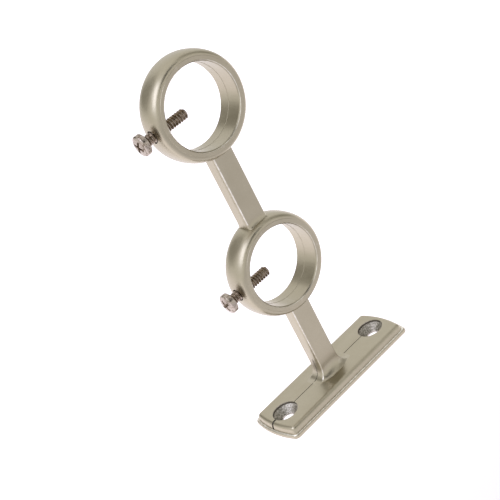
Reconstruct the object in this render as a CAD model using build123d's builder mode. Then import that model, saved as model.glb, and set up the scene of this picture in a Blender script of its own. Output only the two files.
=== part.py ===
"""Double curtain pole bracket: one casting with two pole rings, and a clamp screw through the wall of each ring.

Millimetres. The origin is the middle of the plate's back face, which lies against the wall. +X runs along
the poles, +Y along the plate, and +Z away from the wall.
"""

import os
from math import cos, pi, sin

from build123d import *

# Wall plate, a lower tier and a narrower upper tier
plate_length = 65.0
plate_width = 24.0
plate_thickness = 4.0
plate_corner_radius = 2.0
end_bow_radius = 42.0

# Moulding between the tiers, from the outside inwards: bead, quirk and quarter round
lower_tier_height = 1.65
bead_radius = 0.75
quirk_inset = 0.9
quirk_depth = 0.15
upper_tier_inset = 1.2
upper_corner_radius = 1.8
top_edge_radius = 1.6

# Arm, a flat bar that carries both rings
arm_thickness = 5.5
arm_width = 8.6
arm_edge_bevel = 0.5

# Flared foot of the arm
foot_height = 4.5
foot_reach_along_plate = 4.2
foot_reach_across_plate = 2.6
foot_corner_reach = 1.4
foot_sections = 7

# Pole rings. The flat rim is measured out from the bore, and the crown out from the rim
total_height = 137.0
ring_spacing = 64.7
bore_radius = 14.5
bore_chamfer = 0.45
ring_width = 11.4
rim_width = 1.8
rim_bevel_width = 0.4
rim_bevel_rise = 0.74
crown_rise = 2.4

# Countersunk holes for the wall screws
wall_hole_spacing = 48.0
wall_hole_radius = 2.5
countersink_radius = 4.95
countersink_rim = 0.8
countersink_angle = 90.0

# Casting seam along the middle of the plate
seam_width = 0.25
seam_depth = 0.15
gate_mark_width = 0.8
gate_mark_depth = 0.25

# Clamp screws
screw_radius = 2.0
screw_clearance = 0.05
screw_length = 18.0
screw_reach = 10.4
screw_tip_chamfer = 0.4
screw_mouth_radius = 2.8
screw_mouth_angle = 90.0
head_radius = 3.8
head_height = 2.6
head_crown = 0.5
head_bevel = 0.5
recess_length = 4.6
recess_width = 1.1
recess_depth = 1.5
recess_taper = 12.0
lower_recess_turn = -62.0
upper_recess_turn = -28.0

# Places worked out from the sizes above
rim_radius = bore_radius + rim_width
crown_radius = rim_radius + crown_rise
upper_ring_height = total_height - crown_radius
lower_ring_height = upper_ring_height - ring_spacing
ring_heights = (lower_ring_height, upper_ring_height)
foot_top = plate_thickness + foot_height

# Each clamp screw's name, its height above the wall and the turn of its recess in degrees
clamp_screws = (
    ("lower_clamp_screw", lower_ring_height, lower_recess_turn),
    ("upper_clamp_screw", upper_ring_height, upper_recess_turn),
)


def plate_outline(height, inset, corner_radius):
    """The plate's outline in plan, a rectangle with bowed ends, drawn in by inset at the given height."""
    half_width = plate_width / 2 - inset
    half_length = plate_length / 2 - inset
    bow_radius = end_bow_radius - inset
    bow = bow_radius - (bow_radius**2 - half_width**2) ** 0.5
    side_end = half_length - bow
    with BuildSketch(Plane.XY.offset(height)) as outline:
        with BuildLine():
            Line((-half_width, side_end), (-half_width, -side_end))
            ThreePointArc((-half_width, -side_end), (0, -half_length), (half_width, -side_end))
            Line((half_width, -side_end), (half_width, side_end))
            ThreePointArc((half_width, side_end), (0, half_length), (-half_width, side_end))
        make_face()
        fillet(outline.vertices(), corner_radius)
    return outline.sketch


def arm_section(height, spread):
    """The arm's section at the given height. spread is 0 on the bar and 1 where the foot meets the plate."""
    half_y = arm_width / 2 + foot_reach_along_plate * spread
    corner_x = arm_thickness / 2 + foot_corner_reach * spread
    middle_x = arm_thickness / 2 + foot_reach_across_plate * spread
    with BuildSketch(Plane.XY.offset(height)) as section:
        with BuildLine():
            if spread > 0:
                ThreePointArc((corner_x, -half_y), (middle_x, 0), (corner_x, half_y))
                ThreePointArc((-corner_x, half_y), (-middle_x, 0), (-corner_x, -half_y))
            else:
                Line((corner_x, -half_y), (corner_x, half_y))
                Line((-corner_x, half_y), (-corner_x, -half_y))
            Line((corner_x, half_y), (-corner_x, half_y))
            Line((-corner_x, -half_y), (corner_x, -half_y))
        make_face()
        chamfer(section.vertices(), arm_edge_bevel)
    return section.sketch


def foot_spread(fraction):
    """How far the concave foot stands out at a fraction of its height, 1 at the plate and 0 at the top."""
    return 1 - cos(pi / 2 * fraction)


with BuildPart() as bracket_body:
    # Lower tier, with a bead round its top edge and a quirk just inside the bead
    extrude(plate_outline(0, 0, plate_corner_radius), amount=lower_tier_height)
    lower_top = bracket_body.faces().sort_by(Axis.Z)[-1]
    fillet(lower_top.edges(), bead_radius)
    quirk_floor = lower_tier_height - quirk_depth
    extrude(
        plate_outline(quirk_floor, quirk_inset, plate_corner_radius - quirk_inset),
        amount=quirk_depth,
        mode=Mode.SUBTRACT,
    )

    # Upper tier, with a quarter round along its top edge
    upper_tier = plate_outline(quirk_floor, upper_tier_inset, upper_corner_radius)
    extrude(upper_tier, amount=plate_thickness - quirk_floor)
    plate_top = bracket_body.faces().sort_by(Axis.Z)[-1]
    fillet(plate_top.edges(), top_edge_radius)

    # Flared foot, lofted through sections that follow a quarter ellipse down to the plate
    fractions = [step / (foot_sections - 1) for step in range(foot_sections)]
    sections = [
        arm_section(foot_top - foot_height * sin(pi / 2 * fraction), foot_spread(fraction))
        for fraction in fractions
    ]
    loft(sections)

    # Arm, from the foot into the upper ring
    extrude(arm_section(foot_top, 0), amount=upper_ring_height - bore_radius - foot_top)

    # Pole rings, with a flat rim on each side, a bevel outside it and a domed crown
    half_ring = ring_width / 2
    crown_edge = half_ring - rim_bevel_width
    for ring_height in ring_heights:
        with BuildSketch(Plane.XY.offset(ring_height)):
            with BuildLine():
                Polyline(
                    (-crown_edge, rim_radius + rim_bevel_rise),
                    (-half_ring, rim_radius),
                    (-half_ring, bore_radius + bore_chamfer),
                    (-half_ring + bore_chamfer, bore_radius),
                    (half_ring - bore_chamfer, bore_radius),
                    (half_ring, bore_radius + bore_chamfer),
                    (half_ring, rim_radius),
                    (crown_edge, rim_radius + rim_bevel_rise),
                )
                ThreePointArc(
                    (crown_edge, rim_radius + rim_bevel_rise),
                    (0, crown_radius),
                    (-crown_edge, rim_radius + rim_bevel_rise),
                )
            make_face()
        revolve(axis=Axis((0, 0, ring_height), (1, 0, 0)))

    # Pole bores, cut clear of the arm
    for ring_height in ring_heights:
        with BuildSketch(Plane.YZ):
            with Locations((0, ring_height)):
                Circle(bore_radius)
        extrude(amount=half_ring, both=True, mode=Mode.SUBTRACT)

    # Screw holes through the rings, with countersunk mouths
    for ring_height in ring_heights:
        screw_plane = Plane(origin=(0, -crown_radius, ring_height), x_dir=(1, 0, 0), z_dir=(0, -1, 0))
        with Locations(screw_plane):
            CounterSinkHole(
                screw_radius + screw_clearance,
                screw_mouth_radius,
                depth=crown_radius,
                counter_sink_angle=screw_mouth_angle,
            )

    # Wall screw holes, with a short straight rim above the countersink
    with Locations(Plane.XY.offset(plate_thickness - countersink_rim)):
        with GridLocations(0, wall_hole_spacing, 1, 2):
            CounterSinkHole(wall_hole_radius, countersink_radius, counter_sink_angle=countersink_angle)
    with BuildSketch(Plane.XY.offset(plate_thickness)):
        with GridLocations(0, wall_hole_spacing, 1, 2):
            Circle(countersink_radius)
    extrude(amount=-countersink_rim, mode=Mode.SUBTRACT)

    # Casting seam, a shallow groove from the near hole over the plate and up the foot, and on to the far hole
    foot_end = arm_width / 2 + foot_reach_along_plate
    with BuildSketch(Plane.YZ):
        with BuildLine():
            Line((-wall_hole_spacing / 2, plate_thickness), (-foot_end, plate_thickness))
            EllipticalCenterArc(
                (-foot_end, foot_top), foot_reach_along_plate, foot_height, start_angle=270, arc_size=90
            )
        trace(line_width=2 * seam_depth)
        with BuildLine():
            Line((foot_end, plate_thickness), (wall_hole_spacing / 2, plate_thickness))
        trace(line_width=2 * seam_depth)
    extrude(amount=seam_width / 2, both=True, mode=Mode.SUBTRACT)

    # Gate mark, a wider groove from the near hole over the quarter round and down the upper tier's near end
    upper_end = plate_length / 2 - upper_tier_inset
    round_foot = plate_thickness - top_edge_radius
    near_rim = wall_hole_spacing / 2 + countersink_radius
    with BuildSketch(Plane.YZ):
        with BuildLine():
            Line((-near_rim, plate_thickness), (top_edge_radius - upper_end, plate_thickness))
            CenterArc((top_edge_radius - upper_end, round_foot), top_edge_radius, start_angle=90, arc_size=90)
            Line((-upper_end, round_foot), (-upper_end, lower_tier_height))
        trace(line_width=2 * gate_mark_depth)
    extrude(amount=gate_mark_width / 2, both=True, mode=Mode.SUBTRACT)

bracket_body.part.label = "bracket_body"
os.makedirs("parts", exist_ok=True)
export_step(bracket_body.part, "parts/bracket_body.step")


# Clamp screws, alike, one through the wall of each ring
tip_y = screw_reach - bore_radius
seat_y = tip_y - screw_length
face_y = seat_y - head_height
for screw_name, ring_height, recess_turn in clamp_screws:
    profile_plane = Plane(origin=(0, 0, ring_height), x_dir=(0, 1, 0), z_dir=(1, 0, 0))
    face_plane = Plane(origin=(0, face_y, ring_height), x_dir=(1, 0, 0), z_dir=(0, -1, 0))
    with BuildPart() as clamp_screw:
        # Shank and domed pan head with a bevelled edge, turned about the screw's own axis
        with BuildSketch(profile_plane):
            with BuildLine():
                TangentArc((face_y, 0), (face_y + head_crown, head_radius - head_bevel), tangent=(0, 1))
                Polyline(
                    (face_y + head_crown, head_radius - head_bevel),
                    (face_y + head_crown + head_bevel, head_radius),
                    (seat_y, head_radius),
                    (seat_y, screw_radius),
                    (tip_y - screw_tip_chamfer, screw_radius),
                    (tip_y, screw_radius - screw_tip_chamfer),
                    (tip_y, 0),
                    (face_y, 0),
                )
            make_face()
        revolve(axis=Axis((0, 0, ring_height), (0, 1, 0)))

        # Cross recess, turned as the screw was last left
        with BuildSketch(face_plane):
            with PolarLocations(0, 2, start_angle=recess_turn, angular_range=180):
                Rectangle(recess_length, recess_width)
        extrude(amount=-recess_depth, taper=recess_taper, mode=Mode.SUBTRACT)

    clamp_screw.part.label = screw_name
    export_step(clamp_screw.part, f"parts/{screw_name}.step")
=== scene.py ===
"""Looks for the double curtain pole bracket: a casting in satin nickel and two bright threaded clamp screws.

The part's sizes are in millimetres, as in its own source, and mm() turns them into metres. The studio round
it is in metres. Angles given as named numbers are in degrees.
"""

from math import asin, atan2, copysign, cos, degrees, pi, radians, sin, sqrt, tan

import bmesh
import bpy
from mathutils import Matrix, Vector


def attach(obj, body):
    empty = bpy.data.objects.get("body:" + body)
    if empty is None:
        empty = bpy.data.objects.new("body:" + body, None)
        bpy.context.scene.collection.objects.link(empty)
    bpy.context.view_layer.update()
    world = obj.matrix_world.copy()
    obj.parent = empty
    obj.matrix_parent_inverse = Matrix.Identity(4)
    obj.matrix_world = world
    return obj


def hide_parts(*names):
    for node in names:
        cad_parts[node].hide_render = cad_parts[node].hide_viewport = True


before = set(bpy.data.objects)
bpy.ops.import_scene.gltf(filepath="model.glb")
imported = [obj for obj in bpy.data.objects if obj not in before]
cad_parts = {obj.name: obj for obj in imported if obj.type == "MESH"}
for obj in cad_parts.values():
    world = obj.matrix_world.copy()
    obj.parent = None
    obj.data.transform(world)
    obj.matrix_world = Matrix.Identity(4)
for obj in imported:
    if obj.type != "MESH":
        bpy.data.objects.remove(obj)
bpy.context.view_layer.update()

# Wall plate: a lower tier with a bead and a ledge, a crease, and a narrower upper tier
PLATE_LENGTH = 65.0
PLATE_WIDTH = 24.0
PLATE_THICKNESS = 4.0
PLATE_CORNER = 2.0
END_BOW = 42.0
BOTTOM_EDGE = 0.3
LOWER_TIER = 1.65
BEAD = 0.75
LEDGE_INSET = 0.92
LEDGE_DEPTH = 0.01
CREASE_INSET = 0.98
CREASE_DEPTH = 0.02
UPPER_INSET = 1.2
UPPER_CORNER = 1.8

# The upper tier's wall leans in from the crease to the top edge's round, which starts ROUND_START degrees up
TOP_EDGE = 1.6
ROUND_START = 18.0
WALL_SHARES = (0.0, 0.03, 0.5)

# Steps along the plate's outline and up its edge
SIDE_STEPS = 8
CORNER_STEPS = 10
BOW_STEPS = 12
BOTTOM_STEPS = 4
BEAD_STEPS = 8
TOP_STEPS = 16

# Wall screw holes, countersunk, with a straight rim that carries a painted shadow up to SINK_EDGE below the
# plate's top
HOLE_SPACING = 48.0
HOLE_RADIUS = 2.5
SINK_RADIUS = 4.95
SINK_RIM = 0.95
SINK_EDGE = 0.25
SINK_STEPS = 96

# How far the cutters for the wall holes and the cross recesses stand clear of the metal
CLEARANCE = 1.0

# Casting seam and gate mark: their sides in x and their depths, and how far the gate mark's foot leans out
SEAM = (-0.33, 0.01)
SEAM_DEPTH = 0.2
GATE = (-0.6, 0.35)
GATE_DEPTH = 0.25
GATE_LEAN = 0.15
GATE_STEPS = 12

# Cutters for both: how far they stand clear of the metal, slant at each side, and reach past an end
GROOVE_CLEARANCE = 0.6
GROOVE_SLANT = 0.04
GROOVE_OVERLAP = 0.3

# Arm, a flat bar whose narrow faces each turn a little towards one of their edges
ARM_X = 5.5
ARM_Y = 8.6
ARM_EDGE = 0.3
ARM_TURN = 24.0
ARM_TURN_RADIUS = 2.8

# Points of the arm's section: steps round a turned face and along a side, and the shares that place them
ARM_TURN_STEPS = 5
ARM_SIDE_STEPS = 10
ARM_SIDE_SHARE = 0.9
ARM_END_SHARES = (0.5, 0.0, -0.3)

# Foot of the arm, rooted in the plate: it flares along it below FLARE_TOP and across it below FOOT_TOP
FOOT_HEIGHT = 4.5
FOOT_TOP = PLATE_THICKNESS + FOOT_HEIGHT
FOOT_ARC = 4.9
FOOT_ALONG = 4.6
FOOT_ACROSS = 2.6
FOOT_CORNER = 0.8
FOOT_ROOT = 0.3
FOOT_STEPS = 26
FLARE_TOP = 12.0
FLARE_POWER = 3.0

# Height of the foot's crisp lip, then in shares its step out and the fade of bevels and turned faces
LIP = 0.22
LIP_STEP = 0.04
EDGE_FADE = 0.75
TURN_FADE = 0.9

# Pole rings: a flat rim each side, and a crown, half a superellipse, that starts a small step outside it
RING_HEIGHTS = (53.6, 118.3)
RING_WIDTH = 11.4
RING_STEPS = 240
BORE = 14.5
RIM = 16.3
RIM_STEP = 0.12
RIM_STEP_RISE = 0.05
CROWN = 18.7
CROWN_POWER = 2.3
CROWN_STEPS = 40

# The rim's outer edge and the bore's edge, in pairs of depth below the rim and radius beyond RIM or BORE
RIM_EDGE = ((0.0, -0.7), (0.0, -0.04), (0.05, 0.02))
BORE_EDGE = ((0.45, 0.06), (0.14, 0.36), (0.0, 0.5))

# The bore between its edges with its raised parting line, in pairs of x and radius beyond BORE
BORE_MIDDLE = ((-3.0, 0.03), (-0.92, 0.01), (-0.84, -0.05), (-0.74, -0.05), (-0.66, 0.02), (3.0, 0.03))

# Screw hole through a ring's wall, in pairs of y and radius: a countersunk mouth and a hole into the bore
SCREW_HOLE = ((-19.0, 2.55), (-18.2, 2.25), (-11.5, 2.06))
SCREW_HOLE_STEPS = 64

# The arm ends JOINT from a ring's middle. On the lower ring it flares, from JOINT_RISE above the crown down
JOINT = 15.6
JOINT_RISE = 2.2
JOINT_TOP = RING_HEIGHTS[0] + CROWN + JOINT_RISE
JOINT_HEIGHT = 3.0
JOINT_SPREAD = 1.6
JOINT_CORNER = 0.5
JOINT_STEPS = 12

# Heights of the straight rows of the arm, and the first row of each part of it whose edges carry a painted
# highlight
LOWER_ROWS = (20.0, 30.0)
UPPER_ROWS = (80.0, 90.0)
LOWER_HIGHLIGHT_FROM = 5
UPPER_HIGHLIGHT_FROM = 8

# Clamp screws, from the head's face to the tip
FACE_Y = -24.7
SEAT_Y = -22.1
TIP_Y = -4.1

# One turn of the thread in pairs of share of the pitch and radius, and the stretches of it that are bright
PITCH = 1.07
THREAD_ROOT = 1.5
THREAD = (
    (0.0, 2.0), (0.14, 2.0), (0.22, 1.87), (0.46, 1.54),
    (0.54, 1.5), (0.6, 1.5), (0.68, 1.54), (0.92, 1.87),
)
THREAD_BRIGHT = (0, 1, 7)
THREAD_STEPS = 48

# Head: the radius and rise of its dome, then its edge in pairs of depth below the face and radius
DOME_RADIUS = 3.3
DOME_RISE = 0.5
DOME_STEPS = 10
HEAD_EDGE = ((0.62, 3.5), (0.9, 3.77), (1.1, 3.8), (2.48, 3.8), (2.6, 3.68), (2.6, 1.3))
HEAD_STEPS = 96

# Cross recess, one bar of it, and how far it is turned in the lower and the upper screw
RECESS_LENGTH = 4.6
RECESS_WIDTH = 1.1
RECESS_DEPTH = 1.5
RECESS_TAPER = 12.0
RECESS_TURNS = (-62.0, -28.0)

# Smoothing of the meshes, and how near two points are merged
SHARP_ANGLE = 32.0
NORMAL_WEIGHT = 70
MERGE_METRES = 1e-7

# Most of a noise's values lie in NOISE_SPAN, and colours run from one to the other over CONTRAST
NOISE_SPAN = (0.3, 0.7)
CONTRAST = (0.35, 0.65)

# Studio in metres: the height that lamp and cards face, the cards' distance and the floor's half width
AIM_HEIGHT = 0.07
CARD_DISTANCE = 1.5
FLOOR_REACH = 3.0

# Strength of the white surround as a light. To the camera and in reflections it is 1
WORLD_LIGHT = 0.65

# The floor's glow is the sum of these ramps: axis, start and end, and the values before and after them
FLOOR_GLOW = (
    ("X", (0.01, 0.02), (1.02, 0.51)),
    ("X", (0.05, 0.16), (0.0, -0.3)),
    ("X", (-0.18, -0.08), (-0.12, 0.0)),
    ("Y", (0.05, 0.15), (0.0, 0.15)),
)

# Corners of the one card that lies on the floor
FLOOR_CARD = ((-0.045, -0.078, 0.0008), (-0.4, -0.51, 0.0008), (-0.26, -0.59, 0.0008))

# Camera, solved from the photo
CAMERA_LENS = 79.453
CAMERA_PLACE = Matrix((
    (0.598981, -0.127474, 0.790552, 0.300902),
    (0.684338, 0.594142, -0.422702, -0.167070),
    (-0.415817, 0.794195, 0.443115, 0.232645),
    (0.0, 0.0, 0.0, 1.0),
))


# Small helpers

def mm(points):
    """Points given in millimetres, in metres."""
    return [Vector(p) * 0.001 for p in points]


def clamp(value, low, high):
    return min(max(value, low), high)


def arc_points(centre, radius, start, end, steps):
    """Points along an arc in a plane, from one angle to another in degrees."""
    points = []
    for i in range(steps + 1):
        angle = radians(start + (end - start) * i / steps)
        points.append((centre[0] + radius * cos(angle), centre[1] + radius * sin(angle)))
    return points


# Meshes

def add_object(name, data):
    obj = bpy.data.objects.new(name, data)
    bpy.context.scene.collection.objects.link(obj)
    return obj


def mesh_object(name, verts, faces, materials, kinds):
    """A mesh from points in millimetres, its normals turned outwards. kinds numbers each face's material."""
    mesh = bpy.data.meshes.new(name)
    mesh.from_pydata(mm(verts), [], faces)
    for material in materials:
        mesh.materials.append(material)
    mesh.polygons.foreach_set("material_index", kinds)
    work = bmesh.new()
    work.from_mesh(mesh)
    bmesh.ops.remove_doubles(work, verts=work.verts, dist=MERGE_METRES)
    bmesh.ops.dissolve_degenerate(work, edges=work.edges, dist=MERGE_METRES / 10)
    bmesh.ops.recalc_face_normals(work, faces=work.faces)
    work.to_mesh(mesh)
    work.free()
    return add_object(name, mesh)


def loft(loops):
    """Quads between loops of equal length, and after them a flat face on each end."""
    count = len(loops[0])
    verts = [point for loop in loops for point in loop]
    faces = []
    for row in range(len(loops) - 1):
        here = row * count
        there = here + count
        for i in range(count):
            j = (i + 1) % count
            faces.append((here + i, here + j, there + j, there + i))
    last = (len(loops) - 1) * count
    faces.append(tuple(range(count))[::-1])
    faces.append(tuple(range(last, last + count)))
    return verts, faces


def turned(name, profile, centre, axis, steps, materials, kinds):
    """A profile of (along, radius) points turned about an axis, "x", "y" or "z", through centre.

    kinds numbers the material of each edge of the profile. A profile with one edge fewer than it has points
    is open, and gets a flat face on each end.
    """
    count = len(profile)
    verts = []
    for step in range(steps):
        angle = 2 * pi * step / steps
        for along, radius in profile:
            point = [radius * sin(angle), radius * cos(angle)]
            point.insert("xyz".index(axis), along)
            verts.append([c + p for c, p in zip(centre, point)])
    faces = []
    for step in range(steps):
        here = step * count
        there = (step + 1) % steps * count
        for i in range(len(kinds)):
            j = (i + 1) % count
            faces.append((here + i, here + j, there + j, there + i))
    face_kinds = list(kinds) * steps
    if len(kinds) < count:
        faces.append(tuple(step * count for step in range(steps)))
        faces.append(tuple(step * count + count - 1 for step in range(steps))[::-1])
        face_kinds += [kinds[0], kinds[-1]]
    return mesh_object(name, verts, faces, materials, face_kinds)


def bake(obj):
    """Turns an object's modifiers into its mesh."""
    graph = bpy.context.evaluated_depsgraph_get()
    mesh = bpy.data.meshes.new_from_object(obj.evaluated_get(graph))
    old = obj.data
    obj.modifiers.clear()
    obj.data = mesh
    mesh.name = obj.name
    bpy.data.meshes.remove(old)


def cut(obj, cutters):
    """Takes the cutters out of an object, and then removes them."""
    for cutter in cutters:
        modifier = obj.modifiers.new("cut", "BOOLEAN")
        modifier.operation = "DIFFERENCE"
        modifier.solver = "EXACT"
        modifier.object = cutter
    bake(obj)
    for cutter in cutters:
        bpy.data.objects.remove(cutter)


def smooth(obj):
    """Smooth shading between sharp edges, weighted so that flat faces stay flat."""
    mesh = obj.data
    mesh.polygons.foreach_set("use_smooth", [True] * len(mesh.polygons))
    mesh.set_sharp_from_angle(angle=radians(SHARP_ANGLE))
    modifier = obj.modifiers.new("normals", "WEIGHTED_NORMAL")
    modifier.mode = "FACE_AREA"
    modifier.weight = NORMAL_WEIGHT
    modifier.keep_sharp = True
    bake(obj)


def join(name, parts):
    """One object from several, all of them at the origin and with the same materials."""
    work = bmesh.new()
    for part in parts:
        work.from_mesh(part.data)
    mesh = bpy.data.meshes.new(name)
    work.to_mesh(mesh)
    work.free()
    for material in parts[0].data.materials:
        mesh.materials.append(material)
    for part in parts:
        bpy.data.objects.remove(part)
    return add_object(name, mesh)


# Shader nodes

def node_kit(name):
    material = bpy.data.materials.new(name)
    material.use_nodes = True
    tree = material.node_tree
    shader = tree.nodes["Principled BSDF"]
    return material, tree, shader


def object_coords(tree):
    return tree.nodes.new("ShaderNodeTexCoord").outputs["Object"]


def noise(tree, coords, scale, detail, rough=0.55):
    texture = tree.nodes.new("ShaderNodeTexNoise")
    texture.inputs["Scale"].default_value = scale
    texture.inputs["Detail"].default_value = detail
    texture.inputs["Roughness"].default_value = rough
    tree.links.new(coords, texture.inputs["Vector"])
    return texture.outputs["Fac"]


def ramp(tree, value, span, result):
    """Runs from result's first number to its second while value runs over span, and stays level outside."""
    node = tree.nodes.new("ShaderNodeMapRange")
    node.inputs["From Min"].default_value = span[0]
    node.inputs["From Max"].default_value = span[1]
    node.inputs["To Min"].default_value = result[0]
    node.inputs["To Max"].default_value = result[1]
    tree.links.new(value, node.inputs["Value"])
    return node.outputs["Result"]


def calc(tree, operation, a, b):
    """One step of arithmetic on two values, each a number or a socket."""
    node = tree.nodes.new("ShaderNodeMath")
    node.operation = operation
    for socket, value in zip(node.inputs, (a, b)):
        if isinstance(value, float):
            socket.default_value = value
        else:
            tree.links.new(value, socket)
    return node.outputs["Value"]


def mix_colour(tree, factor, a, b):
    """From a to b, each a colour or a socket, by the factor's socket."""
    node = tree.nodes.new("ShaderNodeMix")
    node.data_type = "RGBA"
    tree.links.new(factor, node.inputs["Factor"])
    for socket, value in ((node.inputs["A"], a), (node.inputs["B"], b)):
        if isinstance(value, tuple):
            socket.default_value = value
        else:
            tree.links.new(value, socket)
    return node.outputs["Result"]


def bump(tree, height, strength, distance, normal=None):
    node = tree.nodes.new("ShaderNodeBump")
    node.inputs["Strength"].default_value = strength
    node.inputs["Distance"].default_value = distance
    tree.links.new(height, node.inputs["Height"])
    if normal:
        tree.links.new(normal, node.inputs["Normal"])
    return node.outputs["Normal"]


# Materials

def satin_nickel():
    """Satin plating on a casting: a fine blasted grain, cloudy roughness, and a painted highlight on sharp
    edges.
    """
    material, tree, shader = node_kit("satin_nickel_plate")
    coords = object_coords(tree)
    cloud = noise(tree, coords, 160.0, 3.0)
    grain = noise(tree, coords, 2600.0, 2.0, 0.6)
    fine = noise(tree, coords, 7000.0, 1.0)
    edge = tree.nodes.new("ShaderNodeNewGeometry").outputs["Pointiness"]

    dark, light = (0.427, 0.383, 0.286, 1), (0.457, 0.413, 0.312, 1)
    speck, painted_highlight_colour = (0.40, 0.358, 0.262, 1), (0.62, 0.58, 0.50, 1)
    tone = mix_colour(tree, ramp(tree, cloud, CONTRAST, (0.0, 1.0)), dark, light)
    tone = mix_colour(tree, ramp(tree, grain, NOISE_SPAN, (0.0, 0.5)), tone, speck)
    # Painted highlight: edges that pointiness finds sharp are lightened towards a pale colour
    tone = mix_colour(tree, ramp(tree, edge, (0.53, 0.62), (0.0, 0.2)), tone, painted_highlight_colour)
    tree.links.new(tone, shader.inputs["Base Color"])
    shader.inputs["Metallic"].default_value = 1.0

    rough = ramp(tree, cloud, NOISE_SPAN, (0.30, 0.36))
    rough = calc(tree, "ADD", rough, ramp(tree, grain, NOISE_SPAN, (-0.02, 0.04)))
    tree.links.new(rough, shader.inputs["Roughness"])
    normal = bump(tree, grain, 0.5, 0.000012)
    normal = bump(tree, fine, 0.4, 0.000005, normal)
    tree.links.new(normal, shader.inputs["Normal"])
    return material


def mottled_metal(
    name, cloud, contrast, dark, light, rough, cloud_bump=None, fine=None, fine_bump=None, metallic=1.0
):
    """A metal whose colour and roughness follow one noise, and whose bumps follow it, a finer one or both.

    cloud and fine hold a noise's scale, its detail and, where it isn't the usual one, its roughness. The
    colour runs from dark to light while the cloud runs over contrast. Each bump holds a strength and a
    distance in metres.
    """
    material, tree, shader = node_kit(name)
    coords = object_coords(tree)
    clouds = noise(tree, coords, *cloud)
    tone = mix_colour(tree, ramp(tree, clouds, contrast, (0.0, 1.0)), dark, light)
    tree.links.new(tone, shader.inputs["Base Color"])
    shader.inputs["Metallic"].default_value = metallic
    tree.links.new(ramp(tree, clouds, NOISE_SPAN, rough), shader.inputs["Roughness"])
    normal = None
    if cloud_bump:
        normal = bump(tree, clouds, *cloud_bump)
    if fine:
        normal = bump(tree, noise(tree, coords, *fine), *fine_bump, normal)
    tree.links.new(normal, shader.inputs["Normal"])
    return material


# The countersinks and all the holes, cut after plating: grey, torn metal
bare_zinc = mottled_metal(
    "bare_cut_metal",
    cloud=(1800.0, 4.0, 0.7),
    contrast=(0.42, 0.58),
    dark=(0.25, 0.232, 0.185, 1),
    light=(0.58, 0.54, 0.48, 1),
    rough=(0.6, 0.42),
    cloud_bump=(0.9, 0.00004),
    fine=(3500.0, 3.0, 0.6),
    fine_bump=(0.6, 0.00001),
)

# Painted highlight on the casting's crisp edges: a pale metal that stands in for the light they catch
painted_highlight_metal = mottled_metal(
    "painted_highlight_on_crisp_edges",
    cloud=(700.0, 4.0, 0.6),
    contrast=CONTRAST,
    dark=(0.60, 0.55, 0.46, 1),
    light=(0.86, 0.82, 0.74, 1),
    rough=(0.38, 0.28),
    cloud_bump=(0.4, 0.00001),
)

# The casting seam and the gate mark in painted shade, and the rims over the countersinks in painted shadow,
# dull and dark
painted_shade_metal = mottled_metal(
    "painted_shade_in_seams_and_rims",
    cloud=(1200.0, 3.0),
    contrast=CONTRAST,
    dark=(0.09, 0.08, 0.06, 1),
    light=(0.21, 0.185, 0.145, 1),
    rough=(0.5, 0.7),
    cloud_bump=(0.5, 0.00002),
    metallic=0.6,
)

# Clouded nickel on the screws' heads, recesses, tips and thread crests
screw_nickel = mottled_metal(
    "screw_nickel_plate",
    cloud=(1300.0, 4.0, 0.6),
    contrast=(0.36, 0.5),
    dark=(0.20, 0.155, 0.115, 1),
    light=(0.45, 0.39, 0.33, 1),
    rough=(0.2, 0.3),
    cloud_bump=(0.6, 0.00003),
    fine=(4000.0, 2.0),
    fine_bump=(0.5, 0.000008),
)

# The threads' flanks and roots, darker and browner than the crests
dark_brown_flanks = mottled_metal(
    "dark_brown_thread_flanks",
    cloud=(900.0, 3.0),
    contrast=CONTRAST,
    dark=(0.15, 0.11, 0.075, 1),
    light=(0.42, 0.34, 0.26, 1),
    rough=(0.3, 0.45),
    fine=(5000.0, 2.0),
    fine_bump=(0.5, 0.00001),
)

CASTING_MATERIALS = (satin_nickel(), bare_zinc, painted_highlight_metal, painted_shade_metal)
PLATED, BARE, PAINTED_HIGHLIGHT, PAINTED_SHADE = range(4)
SCREW_MATERIALS = (screw_nickel, dark_brown_flanks)
BRIGHT, DARK_FLANKS = range(2)


# Casting marks

def groove(path, sides, depth):
    """A cutter along (y, z) points, reaching depth to the left of the path and well clear to its right."""
    loops = []
    x0, x1 = sides
    for i, point in enumerate(path):
        before, after = path[max(i - 1, 0)], path[min(i + 1, len(path) - 1)]
        along = (Vector(after) - Vector(before)).normalized()
        left = Vector((-along.y, along.x))
        low = Vector(point) + left * depth
        high = Vector(point) - left * GROOVE_CLEARANCE
        loops.append([
            (x0 + GROOVE_SLANT, low.x, low.y),
            (x1 - GROOVE_SLANT, low.x, low.y),
            (x1 + GROOVE_SLANT, high.x, high.y),
            (x0 - GROOVE_SLANT, high.x, high.y),
        ])
    # The cutter's faces line the groove, all in the painted shade
    verts, faces = loft(loops)
    return mesh_object("groove", verts, faces, CASTING_MATERIALS, [PAINTED_SHADE] * len(faces))


# Wall plate

def plate_loop(inset, corner, height):
    """The plate's outline, drawn in by inset, with the same number of points at every height."""
    half_width = PLATE_WIDTH / 2 - inset
    half_length = PLATE_LENGTH / 2 - inset
    bow = END_BOW - inset
    bow_centre = half_length - bow
    corner_x = half_width - corner
    corner_y = bow_centre + sqrt((bow - corner) ** 2 - corner_x**2)
    turn = degrees(atan2(corner_y - bow_centre, corner_x))
    quarter = [(half_width, corner_y * i / SIDE_STEPS) for i in range(SIDE_STEPS)]
    quarter += arc_points((corner_x, corner_y), corner, 0, turn, CORNER_STEPS)
    quarter += arc_points((0, bow_centre), bow, turn, 90, BOW_STEPS)[1:]
    half = quarter + [(-x, y) for x, y in quarter[-2::-1]]
    loop = half + [(x, -y) for x, y in half[-2:0:-1]]
    return [(x, y, height) for x, y in loop]


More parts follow.
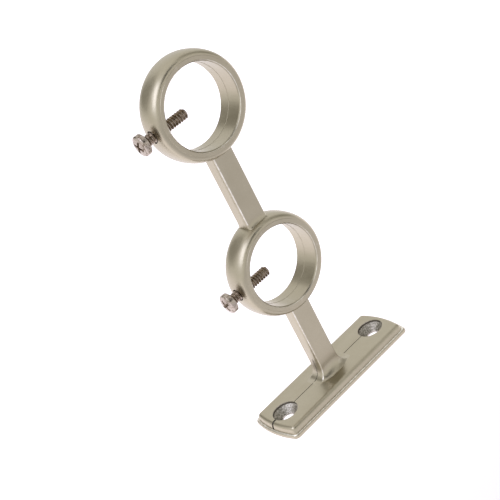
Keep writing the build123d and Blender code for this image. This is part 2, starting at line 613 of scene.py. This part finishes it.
def plate_body():
    """The plate without its holes, with a painted highlight from the middle of the bead to the crease."""
    lower = arc_points((BOTTOM_EDGE, BOTTOM_EDGE), BOTTOM_EDGE, 270, 180, BOTTOM_STEPS)
    highlight_from = len(lower) + BEAD_STEPS // 2
    lower += arc_points((BEAD, LOWER_TIER - BEAD), BEAD, 180, 90, BEAD_STEPS)
    lower.append((LEDGE_INSET, LOWER_TIER - LEDGE_DEPTH))
    highlight_to = len(lower)
    centre = (UPPER_INSET + TOP_EDGE, PLATE_THICKNESS - TOP_EDGE)
    edge = arc_points(centre, TOP_EDGE, 180 - ROUND_START, 90, TOP_STEPS)
    crease = Vector((CREASE_INSET, LOWER_TIER - CREASE_DEPTH))
    wall = [tuple(crease.lerp(Vector(edge[0]), share)) for share in WALL_SHARES]
    loops = [plate_loop(inset, PLATE_CORNER - inset, z) for inset, z in lower]
    for inset, z in wall + edge:
        loops.append(plate_loop(inset, UPPER_CORNER + UPPER_INSET - max(inset, UPPER_INSET), z))
    verts, faces = loft(loops)
    count = len(loops[0])
    kinds = [PAINTED_HIGHLIGHT if highlight_from <= face // count < highlight_to else PLATED for face in range(len(faces))]
    return mesh_object("plate", verts, faces, CASTING_MATERIALS, kinds)


def wall_hole(y):
    """A cutter for a wall screw's hole, its countersink and the straight rim over it."""
    sink_top = PLATE_THICKNESS - SINK_RIM
    profile = [
        (-CLEARANCE, HOLE_RADIUS),
        (sink_top - (SINK_RADIUS - HOLE_RADIUS), HOLE_RADIUS),
        (sink_top, SINK_RADIUS),
        (PLATE_THICKNESS - SINK_EDGE, SINK_RADIUS),
        (PLATE_THICKNESS + CLEARANCE, SINK_RADIUS),
    ]
    # The straight rim below SINK_EDGE carries the painted shadow
    kinds = (BARE, BARE, PAINTED_SHADE, BARE)
    return turned("wall_hole", profile, (0, y, 0), "z", SINK_STEPS, CASTING_MATERIALS, kinds)


def make_plate():
    """The plate with its holes, a seam from each hole to the foot, and the gate mark down its near end."""
    plate = plate_body()
    hole_y = HOLE_SPACING / 2
    seam_foot = ARM_Y / 2 + FOOT_ALONG - GROOVE_OVERLAP
    seam_hole = hole_y - SINK_RADIUS + GROOVE_OVERLAP
    near_seam = [(-seam_foot, PLATE_THICKNESS), (-seam_hole, PLATE_THICKNESS)]
    far_seam = [(seam_hole, PLATE_THICKNESS), (seam_foot, PLATE_THICKNESS)]
    upper_end = PLATE_LENGTH / 2 - UPPER_INSET
    edge_centre = (TOP_EDGE - upper_end, PLATE_THICKNESS - TOP_EDGE)
    gate = [(GROOVE_OVERLAP - hole_y - SINK_RADIUS, PLATE_THICKNESS)]
    gate += arc_points(edge_centre, TOP_EDGE, 90, 180, GATE_STEPS)
    gate.append((-upper_end - GATE_LEAN, LOWER_TIER))
    cut(plate, [
        wall_hole(-hole_y),
        wall_hole(hole_y),
        groove(near_seam, SEAM, SEAM_DEPTH),
        groove(far_seam, SEAM, SEAM_DEPTH),
        groove(gate, GATE, GATE_DEPTH),
    ])
    return plate


# Arm and foot

def arm_loop(height, half_y, corner_x, middle_x, edge, turn):
    """The arm's section. Each narrow face turns towards one of its edges, by the share given as turn."""
    start = corner_x - edge - ARM_TURN_RADIUS * sin(radians(ARM_TURN))
    near = []
    for i in range(ARM_TURN_STEPS + 1):
        angle = radians(ARM_TURN * i / ARM_TURN_STEPS)
        y = turn * ARM_TURN_RADIUS * (1 - cos(angle)) - half_y
        near.append((start + ARM_TURN_RADIUS * sin(angle), y))
    near.append((corner_x, y + edge))
    side = []
    for i in range(1, ARM_SIDE_STEPS):
        share = 2 * i / ARM_SIDE_STEPS - 1
        x = corner_x + (middle_x - corner_x) * (1 - share**2)
        side.append((x, half_y * share * ARM_SIDE_SHARE))
    far = [(corner_x, half_y - edge), (corner_x - edge, half_y)]
    end = [(corner_x * share, half_y) for share in ARM_END_SHARES]
    half = near + side + far + end
    return [(x, y, height) for x, y in half + [(-x, -y) for x, y in half]]


def arm_piece(name, loops, highlight_from):
    """An arm from its sections, with a painted highlight on the bevels that face the near end, from one row
    upwards.
    """
    verts, faces = loft(loops)
    count = len(loops[0])
    bevels = (ARM_TURN_STEPS, count // 2 + ARM_TURN_STEPS + ARM_SIDE_STEPS + 1)
    kinds = []
    for face in range(count * (len(loops) - 1)):
        row, column = divmod(face, count)
        kinds.append(PAINTED_HIGHLIGHT if row >= highlight_from and column in bevels else PLATED)
    return mesh_object(name, verts, faces, CASTING_MATERIALS, kinds + [PLATED, PLATED])


def flare(height):
    """How far the foot reaches along the plate, 1 on the plate and 0 at FLARE_TOP, along a superellipse."""
    down = clamp((FLARE_TOP - height) / (FLARE_TOP - PLATE_THICKNESS), 0.0, 1.0)
    return 1 - (1 - down**FLARE_POWER) ** (1 / FLARE_POWER)


def lower_loop(height):
    """The section of the arm's lower part, which stands on the plate with its foot."""
    down = clamp(FOOT_TOP - height, 0.0, FOOT_HEIGHT - LIP)
    across = (FOOT_ARC - sqrt(FOOT_ARC**2 - down**2)) / FOOT_ACROSS
    if height < PLATE_THICKNESS + LIP:
        across += LIP_STEP
    half_y = ARM_Y / 2 + FOOT_ALONG * flare(height)
    corner_x = ARM_X / 2 + FOOT_CORNER * across
    middle_x = ARM_X / 2 + FOOT_ACROSS * across
    edge = ARM_EDGE * (1 - EDGE_FADE * across)
    return arm_loop(height, half_y, corner_x, middle_x, edge, 1 - TURN_FADE * min(across, 1.0))


def upper_loop(height):
    """The section of the arm's upper part, which flares a little where it lands on the lower ring."""
    down = clamp((JOINT_TOP - height) / JOINT_HEIGHT, 0.0, 1.0)
    spread = JOINT_SPREAD * (1 - sqrt(1 - down**2))
    corner_x = ARM_X / 2 + JOINT_CORNER * spread
    return arm_loop(height, ARM_Y / 2, corner_x, ARM_X / 2 + spread, ARM_EDGE, 1.0)


def make_arm():
    """The arm's two parts, below and above the lower ring, with the seam up the near side of the foot."""
    lower_ring, upper_ring = RING_HEIGHTS
    flare_height = FLARE_TOP - PLATE_THICKNESS
    foot = [PLATE_THICKNESS + flare_height * (i / FOOT_STEPS) ** 2 for i in range(FOOT_STEPS + 1)]
    heights = [PLATE_THICKNESS - FOOT_ROOT, *foot, *LOWER_ROWS, lower_ring - JOINT]
    lower = arm_piece("arm_lower", [lower_loop(z) for z in heights], LOWER_HIGHLIGHT_FROM)
    path = [(-ARM_Y / 2 - FOOT_ALONG * flare(z), z) for z in foot[::-1]]
    cut(lower, [groove(path, SEAM, SEAM_DEPTH)])
    landing = [JOINT_TOP - JOINT_HEIGHT * (1 - i / JOINT_STEPS) for i in range(JOINT_STEPS + 1)]
    heights = [lower_ring + JOINT, *landing, *UPPER_ROWS, upper_ring - JOINT]
    upper = arm_piece("arm_upper", [upper_loop(z) for z in heights], UPPER_HIGHLIGHT_FROM)
    return lower, upper


# Pole rings

def ring_profile():
    """The ring's closed profile in (x, radius) points, from the bore's edge at -X, and its materials."""
    half = RING_WIDTH / 2
    edge = [(half - depth, BORE + out) for depth, out in BORE_EDGE]
    middle = [(x, BORE + out) for x, out in BORE_MIDDLE]
    bore = [(-x, radius) for x, radius in edge[::-1]] + middle + edge
    rim = [(half - depth, RIM + out) for depth, out in RIM_EDGE]
    crown_foot = RIM + RIM_STEP_RISE
    crown = []
    for i in range(CROWN_STEPS + 1):
        angle = pi * i / CROWN_STEPS
        out = copysign(abs(cos(angle)) ** (2 / CROWN_POWER), cos(angle))
        up = max(sin(angle), 0.0) ** (2 / CROWN_POWER)
        crown.append(((half - RIM_STEP) * out, crown_foot + (CROWN - crown_foot) * up))
    profile = bore + rim + crown + [(-x, radius) for x, radius in rim[::-1]]
    kinds = [PLATED] * len(profile)
    # The bevels at the bore's two ends carry the painted highlight
    kinds[0] = PAINTED_HIGHLIGHT
    kinds[len(bore) - 2] = PAINTED_HIGHLIGHT
    return profile, kinds


def make_ring(height):
    """A ring with its screw hole. The bevels at both ends of its bore carry a painted highlight."""
    profile, kinds = ring_profile()
    centre = (0, 0, height)
    ring = turned("ring", profile, centre, "x", RING_STEPS, CASTING_MATERIALS, kinds)
    hole = turned("screw_hole", SCREW_HOLE, centre, "y", SCREW_HOLE_STEPS, CASTING_MATERIALS, (PLATED, BARE))
    cut(ring, [hole])
    return ring


# Clamp screws

def make_thread(height):
    """A real helical thread from the head to the tip, run out at both ends."""
    length = TIP_Y - SEAT_Y
    # A turn to spare before the head and two after the tip. Their rows are brought back to the two ends
    turns = range(-1, int(length / PITCH) + 3)
    rows = [(turn + share, radius) for turn in turns for share, radius in THREAD]
    verts = []
    for step in range(THREAD_STEPS):
        angle = 2 * pi * step / THREAD_STEPS
        for row, radius in rows:
            along = clamp((row + step / THREAD_STEPS) * PITCH, 0.0, length)
            r = min(radius, THREAD_ROOT + (length - along), THREAD_ROOT + along)
            verts.append((r * sin(angle), SEAT_Y + along, height + r * cos(angle)))
    count = len(rows)
    faces = []
    kinds = []
    for step in range(THREAD_STEPS):
        # After a full turn each row meets the row one pitch further on
        shift = len(THREAD) if step == THREAD_STEPS - 1 else 0
        here = step * count
        there = (step + 1) % THREAD_STEPS * count + shift
        for i in range(count - 1 - shift):
            faces.append((here + i, here + i + 1, there + i + 1, there + i))
            kinds.append(BRIGHT if i % len(THREAD) in THREAD_BRIGHT else DARK_FLANKS)
    tip = len(verts)
    for step in range(THREAD_STEPS):
        angle = 2 * pi * step / THREAD_STEPS
        verts.append((THREAD_ROOT * sin(angle), TIP_Y, height + THREAD_ROOT * cos(angle)))
    faces.append(tuple(range(tip, tip + THREAD_STEPS)))
    kinds.append(BRIGHT)
    return mesh_object("thread", verts, faces, SCREW_MATERIALS, kinds)


def recess_bar(height, turn):
    """A cutter for one bar of the cross recess, narrowing as it goes in."""
    angle = radians(turn)
    taper = RECESS_DEPTH * tan(radians(RECESS_TAPER))
    loops = []
    for depth, inset in ((-CLEARANCE, 0.0), (0.0, 0.0), (RECESS_DEPTH, taper)):
        half_l = RECESS_LENGTH / 2 - inset
        half_w = RECESS_WIDTH / 2 - inset
        loop = []
        for u, v in ((-half_l, -half_w), (half_l, -half_w), (half_l, half_w), (-half_l, half_w)):
            x = u * cos(angle) - v * sin(angle)
            z = u * sin(angle) + v * cos(angle)
            loop.append((x, FACE_Y + depth, height + z))
        loops.append(loop)
    verts, faces = loft(loops)
    return mesh_object("recess", verts, faces, SCREW_MATERIALS, [BRIGHT] * len(faces))


def make_head(height, turn):
    """A pan head with a domed face and a cross recess."""
    dome = (DOME_RADIUS**2 + DOME_RISE**2) / (2 * DOME_RISE)
    edge_angle = 180 - degrees(asin(DOME_RADIUS / dome))
    profile = arc_points((FACE_Y + dome, 0), dome, 180, edge_angle, DOME_STEPS)[1:]
    profile += [(FACE_Y + depth, radius) for depth, radius in HEAD_EDGE]
    kinds = [BRIGHT] * (len(profile) - 1)
    head = turned("head", profile, (0, 0, height), "y", HEAD_STEPS, SCREW_MATERIALS, kinds)
    cut(head, [recess_bar(height, turn), recess_bar(height, turn + 90)])
    return head


rings = [make_ring(height) for height in RING_HEIGHTS]
casting = join("bracket_casting", [make_plate(), *make_arm(), *rings])
smooth(casting)
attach(casting, "bracket")
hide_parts("bracket_body")

for place, height, turn in zip(("lower", "upper"), RING_HEIGHTS, RECESS_TURNS):
    screw = join(f"{place}_screw_threaded", [make_thread(height), make_head(height, turn)])
    smooth(screw)
    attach(screw, f"{place}_screw")
    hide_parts(f"{place}_clamp_screw")


# Floor and light

def seen_light(tree):
    """1 for rays from the camera and for those that metal or glass sends on, else 0."""
    path = tree.nodes.new("ShaderNodeLightPath")
    both = calc(tree, "MAXIMUM", path.outputs["Is Camera Ray"], path.outputs["Is Glossy Ray"])
    return calc(tree, "MAXIMUM", both, path.outputs["Is Transmission Ray"])


def sheet(name, corners):
    """One flat face between corners in metres."""
    mesh = bpy.data.meshes.new(name)
    mesh.from_pydata(corners, [], [tuple(range(len(corners)))])
    return add_object(name, mesh)


def make_floor():
    """A white floor that the camera and the metal see by its own glow."""
    far = FLOOR_REACH
    floor = sheet("floor", [(-far, -far, 0), (far, -far, 0), (far, far, 0), (-far, far, 0)])
    material, tree, shader = node_kit("floor_white")
    shader.inputs["Base Color"].default_value = (0.8, 0.8, 0.8, 1)
    shader.inputs["Roughness"].default_value = 1.0
    shader.inputs["Specular IOR Level"].default_value = 0.0
    shader.inputs["Emission Color"].default_value = (0.94, 0.88, 0.98, 1)
    split = tree.nodes.new("ShaderNodeSeparateXYZ")
    tree.links.new(object_coords(tree), split.inputs["Vector"])
    glow = 0.0
    for axis, span, result in FLOOR_GLOW:
        glow = calc(tree, "ADD", glow, ramp(tree, split.outputs[axis], span, result))
    tree.links.new(calc(tree, "MULTIPLY", seen_light(tree), glow), shader.inputs["Emission Strength"])
    floor.data.materials.append(material)


def make_world():
    """White to the camera and in reflections, and dimmer as a light."""
    world = bpy.data.worlds.new("studio")
    bpy.context.scene.world = world
    world.use_nodes = True
    tree = world.node_tree
    background = tree.nodes["Background"]
    background.inputs["Color"].default_value = (1, 1, 1, 1)
    seen = calc(tree, "MULTIPLY", seen_light(tree), 1 - WORLD_LIGHT)
    tree.links.new(calc(tree, "ADD", seen, WORLD_LIGHT), background.inputs["Strength"])


def sky_point(azimuth, elevation, distance):
    """A point at a distance from the middle of the bracket. Azimuth turns from +X towards +Y."""
    turn, rise = radians(azimuth), radians(elevation)
    level = distance * cos(rise)
    return (level * cos(turn), level * sin(turn), AIM_HEIGHT + distance * sin(rise))


def lamp(name, place, size, radiance, colour):
    """A square lamp that points at the middle of the bracket."""
    data = bpy.data.lights.new(name, "AREA")
    data.shape = "SQUARE"
    data.size = size
    data.energy = radiance * pi * size**2
    data.color = colour
    obj = add_object(name, data)
    obj.location = place
    direction = Vector((0, 0, AIM_HEIGHT)) - Vector(place)
    obj.rotation_euler = direction.to_track_quat("-Z", "Y").to_euler()
    obj.visible_camera = False


def card(name, corners, strength, colour):
    """A grey card that only the metal sees, as a photographer's flag."""
    obj = sheet(name, corners)
    material, tree, shader = node_kit(name)
    shader.inputs["Base Color"].default_value = (0, 0, 0, 1)
    shader.inputs["Specular IOR Level"].default_value = 0.0
    shader.inputs["Emission Color"].default_value = colour
    shader.inputs["Emission Strength"].default_value = strength
    obj.data.materials.append(material)
    obj.visible_camera = False
    obj.visible_diffuse = False
    obj.visible_shadow = False


def sky_card(name, azimuth, elevation, width, height, strength, colour):
    """An upright card, width and height in degrees."""
    left, right = azimuth - width / 2, azimuth + width / 2
    low, high = elevation - height / 2, elevation + height / 2
    places = ((left, low), (right, low), (right, high), (left, high))
    card(name, [sky_point(*place, CARD_DISTANCE) for place in places], strength, colour)


make_floor()
make_world()
key_place = sky_point(azimuth=-86, elevation=50, distance=0.6)
lamp("key_lamp", key_place, size=0.42, radiance=2.25, colour=(0.72, 0.755, 1.0))
sky_card("flag_left", -158, 32, width=40, height=40, strength=0.36, colour=(1.0, 0.97, 0.88, 1))
sky_card("flag_right", 78, 33, width=48, height=54, strength=0.48, colour=(1.0, 0.98, 0.92, 1))
sky_card("flag_camera", 4, 46, width=48, height=38, strength=0.05, colour=(1.0, 0.97, 0.98, 1))
card("flag_floor", FLOOR_CARD, strength=0.4, colour=(1.0, 0.95, 0.8, 1))

# Camera

view = bpy.data.cameras.new("camera")
view.lens = CAMERA_LENS
view.sensor_width = 36.0
view.clip_start = 0.01
camera = add_object("camera", view)
camera.matrix_world = CAMERA_PLACE
bpy.context.scene.camera = camera
bpy.context.scene.view_settings.view_transform = "Standard"
